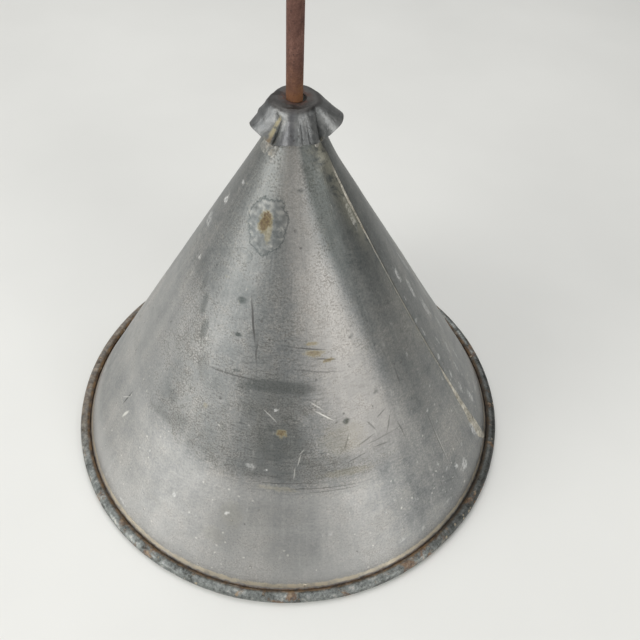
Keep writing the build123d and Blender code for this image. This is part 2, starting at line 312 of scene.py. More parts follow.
class Surface(Graph):
    """A material, and the colour that is painted on it so far."""

    def __init__(self, name):
        super().__init__(bpy.data.materials.new(name), "BsdfPrincipled", "OutputMaterial")
        self.colour = None

    def object_mm(self):
        """The point in the frame at rest, in millimetres."""
        return self.out("TexCoord", output="Object").vector("SCALE", {"Scale": 1 / MM})

    def layer(self, name):
        """A vector that the mesh carries."""
        return self.out("Attribute", output="Vector", attribute_name=name)

    def paint(self, mask, colour, strength=1):
        """Lays a colour over the colour so far where the mask is."""
        if strength != 1:
            mask = mask * strength
        self.colour = self.mix(mask, self.colour, colour)

    def finish(self, metallic, roughness, relief):
        """Sets the shader and gives the material; the relief is a height in millimetres."""
        self.set("Base Color", self.colour)
        self.set("Metallic", metallic)
        self.set("Roughness", roughness)
        self.set("Normal", self.out("Bump", {"Height": relief, "Distance": MM}))
        return self.owner


# The room round the studio: a little darker in front, where the photographer stands, and dark on the right
scene.world = bpy.data.worlds.new("studio")
room = Graph(scene.world, "Background", "OutputWorld")
outward = room.out("TexCoord", output="Generated")
right_side = outward.toward((0.97, 0.2, 0.1)).fade(0.35, 0.92, 1.0, 0.22)
front_side = outward.toward((0.0, -1.0, 0.05)).fade(0.86, 0.98, 1.0, 0.5)
room.set("Color", (1.0, 0.985, 0.97, 1))
room.set("Strength", right_side * front_side * ROOM_POWER)


# ------------------------ meshes

def shell(outer, inner, wrap=False):
    """The closed surface between two grids of points: its points and its faces, the outer ones first."""
    rows, columns = outer.shape[:2]
    count = rows * columns
    index = np.arange(count).reshape(rows, columns)
    if wrap:
        index = np.hstack([index, index[:, :1]])
    outside = np.stack([index[:-1, :-1], index[1:, :-1], index[1:, 1:], index[:-1, 1:]], -1).reshape(-1, 4)
    faces = [outside, (outside + count)[:, ::-1]]
    borders = [index[0], index[-1][::-1]]
    if not wrap:
        borders += [index[::-1, 0], index[:, -1]]
    for border in borders:
        faces.append(np.stack([border[:-1], border[1:], border[1:] + count, border[:-1] + count], -1))
    points = np.concatenate([outer.reshape(-1, 3), inner.reshape(-1, 3)])
    return points, np.concatenate(faces), len(outside)


def two_grids(rows, columns, place):
    """Two grids of points, from a function that gives an upper and a lower point for a row and a column."""
    points = np.array([[place(row, column) for column in columns] for row in rows])
    return points[:, :, 0], points[:, :, 1]


def add_piece(name, points, faces, body, slot, materials, replaced, layers=None, inside=None, sharp=40):
    """A mesh piece, from points in millimetres, that rides on a body and stands for CAD nodes."""
    mesh = bpy.data.meshes.new(name)
    mesh.from_pydata((points * MM).tolist(), [], faces.tolist())
    for material in materials:
        mesh.materials.append(material)
    for layer, values in (layers or {}).items():
        attribute = mesh.attributes.new(layer, "FLOAT_VECTOR", "POINT")
        attribute.data.foreach_set("vector", np.asarray(values, np.float32).ravel())
    if inside is not None:
        mesh.polygons.foreach_set("material_index", np.asarray(inside, np.int32))
    work = bmesh.new()
    work.from_mesh(mesh)
    bmesh.ops.recalc_face_normals(work, faces=work.faces)
    work.to_mesh(mesh)
    work.free()
    mesh.shade_smooth()
    mesh.set_sharp_from_angle(angle=radians(sharp))
    piece = add_object(name, mesh)
    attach(piece, body)
    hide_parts(*replaced)


def flat_point(azimuth, z):
    """Where a point of the cone's outer face lay on the flat sheet: the apex at 0, the front towards -Y."""
    if azimuth > seam_azimuth(cone_r(z)):
        azimuth -= 360
    slant = (APEX_Z - z) / cos(HALF_ANGLE)
    return slant * sin(radians(azimuth / 2)), -slant * cos(radians(azimuth / 2)), azimuth / 2


# ------------------------ the cone's sheet

def sheet_profile():
    """Rows down the sheet, as r and z of its middle, its outward direction, its slant distance and the share
    of the curl that is behind it, which is 0 on the wall."""
    rows = []
    foot = np.array([BEAD_R + CURL_R * cos(radians(CURL_START)), BEAD_Z + CURL_R * sin(radians(CURL_START))])
    head = np.array([cone_r(CONE_TOP_Z) - SHEET / 2 * OUT_R, CONE_TOP_Z - SHEET / 2 * OUT_Z])
    for share in np.linspace(0, 1, WALL_ROWS)[:-1]:
        r, z = head + (foot - head) * share
        rows.append((r, z, OUT_R, OUT_Z, (APEX_Z - z) / cos(HALF_ANGLE), 0.0))
    slant = (APEX_Z - foot[1]) / cos(HALF_ANGLE)
    for angle in np.linspace(CURL_START, CURL_END, CURL_ROWS):
        out_r, out_z = -cos(radians(angle)), -sin(radians(angle))
        run = slant + radians(angle - CURL_START) * CURL_R
        wrapped = (angle - CURL_START) / (CURL_END - CURL_START)
        r, z = BEAD_R - CURL_R * out_r, BEAD_Z - CURL_R * out_z
        rows.append((r, z, out_r, out_z, run, max(wrapped, 0.001)))
    return rows


def wall_bulge(azimuth, z):
    """How far the cone stands out just under the cap, on its right."""
    return 1.3 * bell(centred(azimuth), 98, 34) * float(smooth(z, 163, 180))


def wall_dent(azimuth, z, slant):
    """How far dents move the wall outward at a point: broad and fine ones, and the flat down the front."""
    half_turn = radians(azimuth) / 2
    x, y = slant * sin(half_turn), slant * cos(half_turn)
    waves = sum(most * wobble(x, y, size, seed) for most, size, seed in (BROAD_DENT, FINE_DENT))
    depth, front, width = FLAT_FRONT
    return (waves - depth * bell(azimuth, front, width)) * float(smooth(z, 184, 172))


def sheet_middle(row, azimuth, lifted):
    """The radius and height of the middle of the sheet at a row and an azimuth, with its dents and knocks."""
    r, z, out_r, out_z, slant, wrapped = row
    x, y = RIM_NOISE_R * sin(radians(azimuth)), -RIM_NOISE_R * cos(radians(azimuth))
    near_rim = 1.0 if wrapped > 0 else float(smooth(z, 12, 1.5))
    out = lifted
    if near_rim < 1:
        out += wall_dent(azimuth, z, slant) * (1 - near_rim) + wall_bulge(azimuth, z)
    inward = (push(x, y, *KNOCK_IN) + push(x, y, *TAP_IN)) * near_rim
    upward = push(x, y, *KNOCK_UP) * near_rim
    droop = max(wrapped - DROOP_FROM, 0) / (1 - DROOP_FROM) * push(x, y, *DROOP)
    return r + out * out_r - inward - droop / 2, z + out * out_z + upward - droop


def build_cone_sheet(materials):
    rows = sheet_profile()
    offsets = np.concatenate([
        np.linspace(0, CLIMB, CLIMB_COLUMNS)[:-1],
        np.linspace(CLIMB, UNDER_EDGE, ROUND_COLUMNS),
    ])
    outer, inner, flat, polar, seam = np.zeros((5, len(rows), LAP_COLUMNS + len(offsets), 3))
    for i, row in enumerate(rows):
        r, z, out_r, out_z, slant, wrapped = row
        on_wall = wrapped == 0
        lap = turn(LAP_WIDTH, max(r, LAP_LEAST_R)) * smooth(z, *LAP_FOOT) * smooth(z, *LAP_TOP) * on_wall
        lift = lap_lift(z) * on_wall
        around = np.concatenate([np.linspace(0, lap, LAP_COLUMNS + 1)[:-1], lap + offsets])
        climb = np.where(around < lap, 1.0, 1 - smooth(around - lap, 0, CLIMB))
        for j, past in enumerate(around):
            azimuth = seam_azimuth(r) - past
            a = radians(azimuth)
            middle_r, middle_z = sheet_middle(row, azimuth, lift * climb[j])
            for grid, out in ((outer, SHEET / 2), (inner, -SHEET / 2)):
                reach = middle_r + out * out_r
                grid[i, j] = (reach * sin(a), -reach * cos(a), max(middle_z + out * out_z, 0))
            flat[i, j] = (slant * sin(a / 2), -slant * cos(a / 2), 0)
            height = z if on_wall else 1.35 - wrapped
            polar[i, j] = (azimuth if azimuth > -180 else azimuth + 360, height, wrapped)
            seam[i, j] = (radians(360 - past if past > 180 else -past) * r, azimuth, z)
    points, faces, outside = shell(outer, inner)
    # the wall's inner faces have the inside's material, and the curl's keep the outside's
    inside = np.zeros(len(faces), int)
    inside[outside:outside + (WALL_ROWS - 2) * (outer.shape[1] - 1)] = 1
    grids = {"flat": flat, "polar": polar, "seam": seam}
    layers = {name: np.concatenate([grid.reshape(-1, 3)] * 2) for name, grid in grids.items()}
    for name, marks in MARK_LAYERS.items():
        layers[name] = mark_layer(layers["flat"], marks)
    add_piece("cone_sheet", points, faces, "cone", "zinc_sheet", materials, ["cone_shell"], layers, inside)


# ------------------------ marks on the zinc

# Marks on the cone: azimuth, height, half-width round the cone, half-height up it, turn in degrees, strength
# The broad, faint dark marks near azimuth 0, from the rim up to about 94 mm, are painted shade: a dark
# reflection between the highlights on either side. The small dark marks are real.
DARK_MARKS = (
    (-2, 93.5, 16, 4.2, 0, 0.72),
    (0, 71, 12, 13, 0, 0.56),
    (-3, 86, 13, 14, 0, 0.34),
    (6, 60, 26, 7, 0, 0.30),
    (-25, 124, 2.2, 1.7, 10, 1.0),
    (-23, 111, 1.5, 1.0, -20, 1.0),
    (24, 77, 1.8, 1.6, 0, 1.0),
    (-20, 97, 1.6, 0.8, 0, 0.8),
    (-62, 124, 6, 5, 30, 0.25),
    (-47, 114, 1.6, 5.5, 6, 0.5),
    (-41, 106, 1.9, 4.5, -4, 0.5),
    (-53, 121, 1.5, 4.5, 0, 0.4),
    (-35, 92, 3, 7, 20, 0.3),
    (-44, 72, 4, 3, 0, 0.3),
    (-37, 66, 6, 2.5, 0, 0.3),
    (33, 110, 1.5, 0.8, 30, 0.6),
    (38, 84, 1.6, 0.9, 0, 0.6),
    (12, 166, 1.6, 0.6, 0, 0.7),
    (-42, 62, 14, 2.5, 8, 0.2),
    (-3, 38, 19, 7, 4, 0.17),
    (2, 23, 15, 10, -8, 0.13),
    (-14, 30, 9, 12, 20, 0.12),
)
DARK_SCRATCHES = (
    (-16.5, 118, 0.45, 9.5, 14, 0.9),
    (-12.5, 107, 0.35, 5.5, 6, 0.6),
    (12, 109, 6.5, 0.35, -10, 0.7),
    (19, 104, 4.5, 0.35, -14, 0.7),
    (-22, 95, 12, 0.4, 5, 0.7),
    (-64, 47, 0.4, 5.5, -12, 0.9),
    (3, 53.5, 15, 0.28, -1, 0.45),
    (12, 50.5, 17, 0.3, -3, 0.5),
    (17, 48.5, 13, 0.25, -4, 0.4),
    (21, 56, 10, 0.25, -4, 0.35),
    (-2, 56.5, 8, 0.25, 2, 0.3),
    (36, 64, 8, 0.4, -2, 0.35),
    (44, 62, 0.35, 5, 8, 0.5),
    (50, 84, 0.35, 4, 0, 0.4),
    (57, 45, 0.3, 16, 2, 0.45),
    (14, 100, 9, 0.4, -12, 0.4),
    (30, 66, 4.5, 0.4, 16, 0.5),
    (35, 61, 3.5, 0.35, -12, 0.5),
    (33, 71, 0.35, 3.4, 30, 0.5),
    (40, 68, 0.4, 4.5, -28, 0.5),
    (26, 60, 5.0, 0.35, 12, 0.5),
    (38, 74, 3.0, 0.35, 20, 0.5),
    (23, 68, 0.35, 4.0, -20, 0.5),
)
PALE_SCRATCHES = (
    (16, 81.5, 0.3, 4.2, 52, 0.9),
    (13.5, 86, 0.25, 3.2, 48, 0.6),
    (-4, 82, 0.25, 3.8, 46, 0.5),
    (6.5, 63.5, 0.28, 2.6, -16, 0.5),
    (5, 58, 0.28, 2.8, -8, 0.45),
    (7.5, 67, 0.25, 1.6, -40, 0.45),
    (-61, 41, 0.7, 3.4, -20, 0.9),
    (-65, 46, 0.3, 4.2, -42, 0.5),
    (57.5, 40, 0.3, 12, 2, 0.3),
)
WHITE_MARKS = (
    (-79, 149, 2.2, 1.6, 0, 1.0),
    (-86, 135, 4.5, 3.2, 0, 0.5),
    (-68, 125, 1.1, 0.9, 0, 0.8),
    (-66, 161, 1.6, 0.6, 0, 0.5),
    (-9, 59.5, 3.2, 1.2, 0, 0.42),
    (-4, 58.5, 0.6, 0.6, 0, 0.9),
    (63, 17, 3.2, 3.0, 0, 1.0),
    (60, 22, 1.2, 2.0, 0, 0.9),
    (66, 26, 0.8, 1.2, 0, 0.8),
    (57.5, 59, 1.0, 1.4, 0, 0.9),
    (80, 113, 1.4, 5.5, 6, 0.7),
    (86, 101, 1.6, 6.0, -4, 0.65),
    (75.5, 104, 0.8, 2.6, 0, 0.6),
    (98, 106, 1.8, 9.0, 8, 0.5),
    (102, 86, 2.0, 13, 0, 0.4),
    (61, 152, 1.3, 6.5, 0, 0.5),
    (76, 84, 0.6, 3.0, 0, 0.6),
    (83, 70, 0.9, 4.5, 4, 0.55),
    (88, 58, 1.4, 5.0, -6, 0.5),
    (70, 128, 1.2, 2.6, 0, 0.8),
    (71, 119, 0.8, 1.6, 0, 0.7),
    (77.5, 67, 1.3, 1.8, 0, 0.9),
    (64, 66, 1.6, 1.1, 0, 0.7),
    (79, 52, 0.9, 2.6, 0, 0.8),
    (81, 40, 1.0, 5.5, 0, 0.7),
    (84, 27, 1.6, 5.5, 0, 0.7),
    (74.5, 20, 2.0, 6.5, 0, 0.8),
    (92, 46, 1.2, 3.6, 0, 0.6),
    (91, 18, 4.0, 1.6, 0, 0.5),
    (53, 33, 0.9, 0.9, 0, 0.8),
    (-14, 36, 1.0, 0.8, 0, 0.8),
    (-31, 33, 0.7, 1.2, 0, 0.8),
    (-44, 42, 0.9, 0.7, 0, 0.7),
    (-21, 41, 0.6, 0.6, 0, 0.7),
    (-34, 20, 0.7, 0.7, 0, 0.6),
    (32, 30, 0.7, 0.9, 0, 0.6),
    (35, 13, 4.0, 0.7, 3, 0.5),
    (41, 11, 3.0, 0.5, 0, 0.5),
    (52, 12, 4.5, 0.7, -3, 0.45),
    (19, 12, 3.0, 0.6, 0, 0.5),
    (-47, 9, 2.2, 0.8, 0, 0.7),
    (-2, 85, 1.2, 0.8, -20, 0.7),
    (75, 92, 2.0, 1.2, 0, 0.5),
    (90, 84, 2.2, 7.0, 5, 0.6),
    (95, 66, 1.6, 6.0, -5, 0.55),
    (86, 46, 1.4, 4.0, 0, 0.6),
    (72, 60, 1.0, 2.4, 0, 0.7),
    (68, 44, 0.8, 1.2, 0, 0.8),
    (56, 26, 0.7, 0.7, 0, 0.8),
    (47, 21, 0.6, 0.6, 0, 0.7),
    (60, 50, 0.6, 0.8, 0, 0.8),
    (64, 78, 0.6, 0.6, 0, 0.8),
    (59, 88, 0.6, 0.9, 0, 0.7),
)
RUST_MARKS = (
    (-21.5, 153.5, 2.8, 4.2, 0, 1.0),
    (-17.5, 150.5, 1.5, 4.2, 4, 0.5),
    (0.5, 75, 2.3, 1.9, 0, 0.9),
    (14, 107, 4.0, 1.4, -6, 0.8),
    (20, 103.5, 2.4, 1.0, 0, 0.8),
    (13, 111, 3.0, 0.8, -8, 0.7),
    (0, 51, 9, 1.2, -4, 0.3),
    (22, 55, 12, 2.0, -6, 0.22),
    (22, 70, 10, 8, 0, 0.16),
    (-29, 78, 1.6, 1.0, 0, 0.4),
    (-13, 36, 5, 7, 10, 0.13),
    (-17, 24, 6, 4, -10, 0.1),
)
STAIN_MARKS = (
    (-20, 152.5, 8.2, 11.2, 0, 1.0),
    (-33, 139.5, 4.6, 3.0, 8, 0.6),
    (-41, 138.0, 2.8, 1.8, -10, 0.5),
)
MARK_LAYERS = {
    "dark_marks": DARK_MARKS,
    "white_marks": WHITE_MARKS,
    "rust_marks": RUST_MARKS,
    "stain_marks": STAIN_MARKS,
}
MARK_REACH = 1.5  # a mark fades out this many half-widths from its middle, and is full within one less


def mark_layer(flat, marks):
    """For each point of the flat sheet: how far inside its nearest mark it is, and that mark's strength."""
    nearest = np.full(len(flat), np.inf)
    strengths = np.zeros(len(flat))
    for azimuth, z, half_width, half_height, tilt, strength in marks:
        x, y, lean = flat_point(azimuth, z)
        turned = radians(lean + tilt)
        dx, dy = flat[:, 0] - x, flat[:, 1] - y
        across = (dx * cos(turned) + dy * sin(turned)) / half_width
        along = (dy * cos(turned) - dx * sin(turned)) / half_height
        distance = np.hypot(across, along)
        strengths = np.where(distance < nearest, strength, strengths)
        nearest = np.minimum(nearest, distance)
    return np.stack([np.clip(MARK_REACH - nearest, 0, 1), strengths, np.zeros(len(flat))], -1)


# ------------------------ zinc

class ZincOutside(Surface):
    """The outside of the cone's sheet. Each method paints one kind of wear, or of painted light and shade,
    over the ones before it.
    """

    def __init__(self):
        super().__init__("zinc_outside")
        self.sheet = self.layer("flat")
        self.azimuth, self.height, self.wrapped = self.layer("polar").parts()
        around = self.layer("seam")
        self.from_seam = around.parts()[0]
        self.clouds = self.sheet.noise(40, 4, 0.55, 0.4)
        self.mottle = self.sheet.noise(7, 5, 0.65, 0.6)
        self.grain = self.sheet.noise(1.2, 4, 0.75)
        self.bands = around.noise(10, 3, 0.5, stretch=(0, 1, 0.02))
        self.streaks = around.noise(1.3, 2, 0.5, stretch=(0, 1, 0.03))
        self.hairlines = around.noise(1.0, 3, 0.6, stretch=(0, 0.16, 1.1))

    def paint_patina(self):
        """Broad clouds, lengthwise bands, hairlines round the cone and a fine grain."""
        tone = self.clouds * 0.3 + self.mottle * 0.2 + self.bands * 0.14
        tone = tone + self.streaks * 0.05 + self.hairlines * 0.05 + self.grain * 0.32
        self.colour = tone.ramp(
            (0.42, rgb(108, 112, 113)),
            (0.50, rgb(140, 142, 142)),
            (0.56, rgb(161, 161, 159)),
            (0.64, rgb(190, 187, 183)),
        )

    def paint_grime_and_sheen(self):
        """A dull area of grime on the front with a crisp lower edge, painted highlight and reflection below
        it, by the rim and on the left, and fine dark flecks.
        """
        azimuth, height = self.azimuth, self.height
        wipe_line = height + self.mottle * 9.0 + azimuth * 0.1
        self.unwiped = wipe_line.fade(55.5, 62) * azimuth.between((-78, -45), (50, 28))
        self.paint(self.unwiped * azimuth.fade(-8, 14, 0.3, 0.04), rgb(100, 103, 101))
        # painted highlight below the grime's lower edge and by the rim, strongest on the left, and a painted
        # reflection on the left of the cone
        below = wipe_line.fade(58, 50) * azimuth.fade(45, 20) * azimuth.fade(-100, -10, 0.0, 0.3)
        by_rim = height.fade(24, 9) * azimuth.fade(-30, -70, 0.16, 0.6)
        left = azimuth.between((-100, -84), (-46, -56)) * height.between((40, 60), (125, 100))
        for painted_sheen in (below, by_rim, left * 0.22):
            self.paint(painted_sheen, rgb(208, 207, 205))
        low_edge = height.fade(20, 9) * self.clouds.fade(0.4, 0.56)
        spots = self.sheet.noise(0.8, 3, 0.6) + self.mottle * 0.6 + self.clouds * 0.4
        spots = spots + self.unwiped * 0.05 + low_edge * 0.06
        self.flecks = spots.fade(1.0, 1.24) * self.unwiped.fade(0, 1, 0.24, 0.52)
        self.paint(self.flecks, rgb(80, 80, 76))

    def paint_lines(self):
        """Fine lines round the middle of the front, and wavy ones where drops have dried."""
        middle = self.azimuth.between((-40, -18), (48, 26)) * self.height.between((44, 60), (126, 108))
        self.paint(middle * self.hairlines.fade(0.46, 0.36), rgb(88, 90, 87), 0.34)
        veins = abs(self.sheet.noise(15, 4, 0.6, 0.5) - 0.5).fade(0.014, 0.004)
        veins = veins * self.clouds.fade(0.48, 0.58) * self.height.fade(46, 62, 0.08, 0.3)
        self.paint(veins, rgb(84, 88, 82))

    def paint_tarnish_shade_and_highlight(self):
        """A dark greenish band down the right of the front, partly tarnished zinc and partly painted shade, a
        painted highlight band beside it, and a darker tip.
        """
        azimuth, height = self.azimuth, self.height
        band_edge = azimuth + height * 0.22 + self.mottle * 5.0 + height.fade(120, 180) * 9.0
        past_seam = azimuth.fade(60, 70) * height.fade(150, 172, 0.4, 0.8)
        # the dark band: partly tarnished zinc, partly painted shade where the cone turns away from the light
        tarnish_and_shade = band_edge.fade(63, 72) * height.fade(25, 120, 0.12, 1.0) * height.fade(120, 165, 0.5, 0.76)
        self.paint(tarnish_and_shade * (1.0 - past_seam) * azimuth.fade(150, 105), rgb(80, 85, 83))
        # a painted highlight band to the left of the dark one
        painted_highlight = band_edge.between((28, 46), (68, 57)) * height.fade(45, 70, 0.0, 0.29)
        self.paint(painted_highlight, rgb(214, 208, 202))
        self.paint(height.fade(100, 180), rgb(92, 96, 93), 0.38)

    def paint_specks(self):
        """Small dark specks, and pale ones that crowd towards the rim."""
        dark = self.sheet.specks(5.5, 0.16, 0.07, 3, 0.8) * self.sheet.noise(16, 2).fade(0.5, 0.62)
        self.paint(dark, rgb(74, 74, 73), 0.6)
        pale = self.sheet.specks(5.5, 0.13, 0.07, 2, 0.7) * self.height.fade(110, 20, 0.1, 1.0)
        self.paint(pale * self.sheet.noise(21, 2).fade(0.42, 0.54), rgb(214, 213, 208), 0.8)

    def mark_parts(self, layer, rough, amount, softness):
        """A mark layer's mask, with its edge moved about by a noise of 0 to 1, and the marks' strengths."""
        inside, strength, _ = self.layer(layer).parts()
        return (inside + (rough - 0.5) * amount).fade(0.5 - softness, 0.5 + softness), strength

    def scratch_mask(self, size, amount, marks):
        """One mask for a list of scratches, whose lines waver by an amount."""
        sheet = self.sheet.shifted(size, amount)
        masks = None
        for azimuth, z, half_width, half_height, tilt, strength in marks:
            x, y, lean = flat_point(azimuth, z)
            values = {"Vector": sheet, "Location": (x, y, 0), "Rotation": (0, 0, radians(lean + tilt)),
                      "Scale": (half_width, half_height, 1)}
            distance = self.out("Mapping", values, vector_type="TEXTURE").vector("LENGTH", {}, "Value")
            mask = distance.fade(MARK_REACH, MARK_REACH - 1, 0, strength)
            masks = mask if masks is None else masks | mask
        return masks

    def paint_marks(self):
        """The dark marks, the broad ones down the middle of the front being painted shade, and the scratches
        that are placed one by one.
        """
        self.fray = self.sheet.noise(3.2, 4, 0.65)
        # dark marks: small real ones, and broad painted shade down the middle of the front
        dark, strength = self.mark_parts("dark_marks", self.mottle * 0.6 + self.fray * 0.4, 1.3, 0.36)
        self.paint(dark * strength * self.grain.fade(0.36, 0.6, 0.62, 1.0), rgb(76, 81, 80))
        self.paint(self.scratch_mask(9, 0.8, DARK_SCRATCHES), rgb(84, 84, 83))
        self.paint(self.scratch_mask(7, 0.5, PALE_SCRATCHES), rgb(222, 221, 216))

    def paint_stain(self):
        """Mottled patches with dark outlines, high on the front."""
        patch, strength = self.mark_parts("stain_marks", self.mottle * 0.7 + self.fray * 0.3, 1.3, 0.16)
        stops = (0.4, rgb(74, 79, 80)), (0.5, rgb(106, 110, 110)), (0.62, rgb(152, 153, 149))
        self.paint(patch * strength * (strength * 0.56), self.fray.ramp(*stops))
        ring = patch.between((0.02, 0.435), (0.435, 0.85, 1, 0)) * self.grain.fade(0.3, 0.55)
        self.paint(ring * (strength * 0.75), rgb(74, 80, 80))

    def paint_rust_and_white(self):
        """Rust spots and white smears."""
        spots, strength = self.mark_parts("rust_marks", self.fray * 0.6 + self.grain * 0.4, 2.4, 0.36)
        self.rust = spots * strength
        stops = (0.4, rgb(172, 166, 140)), (0.66, rgb(140, 126, 78)), (0.95, rgb(92, 72, 44))
        self.paint(self.rust, (self.rust * 0.55 + self.grain * 0.7).ramp(*stops), 0.85)
        white, strength = self.mark_parts("white_marks", self.fray * 0.6 + self.streaks * 0.4, 3.2, 0.3)
        smears = self.sheet.noise(2.1, 5, 0.7, 0.6) * 0.7 + self.grain * 0.3
        self.white = white * strength * smears.fade(0.42, 0.55, 0.12, 1.0)
        self.paint(self.white, rgb(212, 213, 211), 0.85)

    def paint_seam_edges(self):
        """Shadow on the right of the lap's raw edge, and pale flux on its left."""
        shadow = self.from_seam.between((0.0, 0.2), (2.2, 0.7)) * self.height.fade(140, 168, 0.75, 0.32)
        self.paint(shadow, rgb(62, 60, 54))
        flux = self.from_seam.between((-9, -1), (0.2, 0.0)) * self.height.fade(132, 150, 0.12, 0.75)
        self.paint(flux * self.mottle.fade(0.38, 0.54), rgb(172, 170, 155))

    def paint_bead(self):
        """Mottled, tarnished zinc on the bead, with painted shade that makes it blackest at the lower right,
        and rust, most of it on the left.
        """
        self.on_bead = self.wrapped.fade(0.0, 0.02)
        zinc = (self.sheet.noise(5, 4, 0.6, 0.3) * 0.55 + self.sheet.noise(1.3, 4, 0.7) * 0.45).ramp(
            (0.36, rgb(66, 66, 62)),
            (0.46, rgb(110, 114, 112)),
            (0.56, rgb(142, 146, 144)),
            (0.66, rgb(188, 186, 178)),
        )
        # painted shade on the bead's right side, away from the light
        self.painted_shade_right = self.azimuth.between((34, 52), (120, 95))
        self.paint(self.on_bead, self.mix(self.painted_shade_right * 0.6, zinc, rgb(50, 50, 48)))
        spots = self.sheet.noise(12, 5, 0.7, 0.6).fade(0.54, 0.62) * self.on_bead
        left = self.azimuth.between((-170, -125, 0.0, 0.45), (-60, -84)) * self.on_bead
        self.rusty = spots * 0.8 | left
        stops = (0.38, rgb(64, 46, 34)), (0.5, rgb(116, 88, 62)), (0.62, rgb(152, 132, 106))
        self.paint(self.rusty, self.fray.ramp(*stops))

    def paint_rim(self):
        """A cream line above the bead, brown dirt in the groove below it, darkened by painted shade on the
        right, and crumbs on both.
        """
        lined = self.height + self.fray * 2.4
        cream = lined.between((5.2, 5.7), (7.8, 7.0)) * self.mottle.fade(0.36, 0.54, 0.45, 0.95)
        self.paint(cream, rgb(218, 210, 190))
        self.paint_bead()
        groove = lined.fade(5.3, 4.6) * self.wrapped.fade(0.08, 0.02) | self.wrapped.fade(0.84, 0.93)
        self.dirt = groove * self.sheet.noise(6, 4, 0.6).fade(0.34, 0.5, 0.6, 1.0)
        brown = self.sheet.noise(4, 3, 0.6).ramp((0.4, rgb(62, 48, 34)), (0.6, rgb(118, 90, 56)))
        # the groove's dirt, darkened on the right by painted shade
        self.paint(self.dirt, self.mix(self.painted_shade_right * 0.75, brown, rgb(48, 42, 34)), 0.85)
        crumbs = self.sheet.specks(4.2, 0.2, 0.12, 2.5, 1.0) * self.sheet.noise(17, 2).fade(0.5, 0.58)
        self.crumbs = crumbs * self.height.fade(6.6, 5.2)
        self.paint(self.crumbs, rgb(186, 174, 152), 0.85)

    def made(self):
        """Paints everything and gives the material."""
        self.paint_patina()
        self.paint_grime_and_sheen()
        self.paint_lines()
        self.paint_tarnish_shade_and_highlight()
        self.paint_specks()
        self.paint_marks()
        self.paint_stain()
        self.paint_rust_and_white()
        self.paint_seam_edges()
        self.paint_rim()
        stained = (self.rust | self.white) | (self.rusty | self.dirt)
        roughness = self.grain.fade(0.3, 0.7, 0.38, 0.5) + stained * 0.25 + self.flecks * 0.2
        roughness = roughness + self.unwiped * 0.07 + self.on_bead * 0.04
        crust = self.height.fade(6, 3) * self.sheet.noise(1.3, 4, 0.7)
        relief = self.sheet.noise(22, 3, 0.5) * 0.8 + self.grain * 0.05 + self.streaks * 0.03
        relief = relief + self.hairlines * 0.015 + crust * 0.3 + self.crumbs * 0.3
        return self.finish(stained.fade(0.1, 0.7, 0.88, 0.15), roughness, relief)


def zinc_inside():
    zinc = Surface("zinc_inside")
    sheet = zinc.layer("flat")
    height = zinc.layer("polar").parts()[1]
    tone = sheet.noise(30, 4, 0.6, 0.5) * 0.55 + sheet.noise(4, 5, 0.65) * 0.45
    zinc.colour = tone.ramp((0.36, rgb(96, 98, 98)), (0.5, rgb(136, 137, 135)), (0.64, rgb(170, 168, 163)))
    bloom = sheet.noise(19, 6, 0.75, 0.5).fade(0.54, 0.72)
    zinc.paint(bloom, rgb(192, 191, 187), 0.3)
    rust = sheet.noise(15, 5, 0.7).fade(0.55, 0.66) * height.fade(40, 2, 0.15, 1.0)
    zinc.paint(rust, rgb(98, 70, 48), 0.75)
    relief = sheet.noise(22, 3, 0.5) * 0.9 + sheet.noise(1.5, 4, 0.65) * 0.05
    return zinc.finish((rust | bloom).fade(0.1, 0.8, 0.85, 0.45), tone.fade(0.35, 0.65, 0.42, 0.58), relief)


build_cone_sheet([ZincOutside().made(), zinc_inside()])


# ------------------------ solder

# At each height of the seam's solder: how far it spreads left and right of the raw edge, and how proud it is
SEAM_SOLDER = (
    (6, 1.6, 1.4, 0.15),
    (12, 4.0, 2.0, 0.45),
    (20, 4.8, 2.0, 0.5),
    (30, 3.2, 1.5, 0.45),
    (40, 2.1, 1.3, 0.4),
    (56, 1.4, 1.0, 0.3),
    (64, 0.7, 0.5, 0.12),
    (90, 0.5, 0.4, 0.08),
    (120, 0.5, 0.4, 0.08),
    (142, 0.7, 0.4, 0.12),
    (150, 1.1, 0.5, 0.22),
    (165, 1.3, 0.5, 0.25),
    (178, 1.0, 0.5, 0.2),
)
SEAM_STEP, INNER_SEAM_STEP = 0.9, 1.2
SUNK = 0.2  # how deep the seam's hidden face lies in the sheet
INNER_HALF_WIDTH, INNER_PROUD = 1.5, 0.32
# Solder under the cap's valleys: azimuth, spread in degrees, lowest and highest points, how proud it is
CAP_TACKS = (
    (-97, 24, 176.0, 181.0, 0.8),
    (-62, 32, 174.4, 181.5, 0.34),
    (-38, 22, 175.0, 180.8, 0.36),
    (57, 20, 178.0, 181.2, 0.7),
    (128, 22, 176.5, 181.0, 0.8),
    (195, 26, 176.5, 181.0, 0.8),
)
# The same for the solder on the strap's ends, whose azimuths go with their noises' seeds
STRAP_PATCH = (18.5, 60.6, 76.8, 0.95)
STRAP_SEEDS = {0: 11.5, 180: 17.5}
LUMP_SINK = 0.25  # how deep a patch's hidden face lies in the sheet
LUMP_STEPS = 36
EDGE_TUCK = 0.03  # how far the solder's thin edges go under the sheet's face


def cone_point(azimuth, z, height):
    """A point that stands off the cone's outer face."""
    r = cone_r(z) + height * OUT_R
    return r * sin(radians(azimuth)), -r * cos(radians(azimuth)), z + height * OUT_Z


def rounded(q):
    """A rounded profile: 1 in the middle, 0 at -1 and 1."""
    return max(1 - q * q, 0.0) ** 0.6


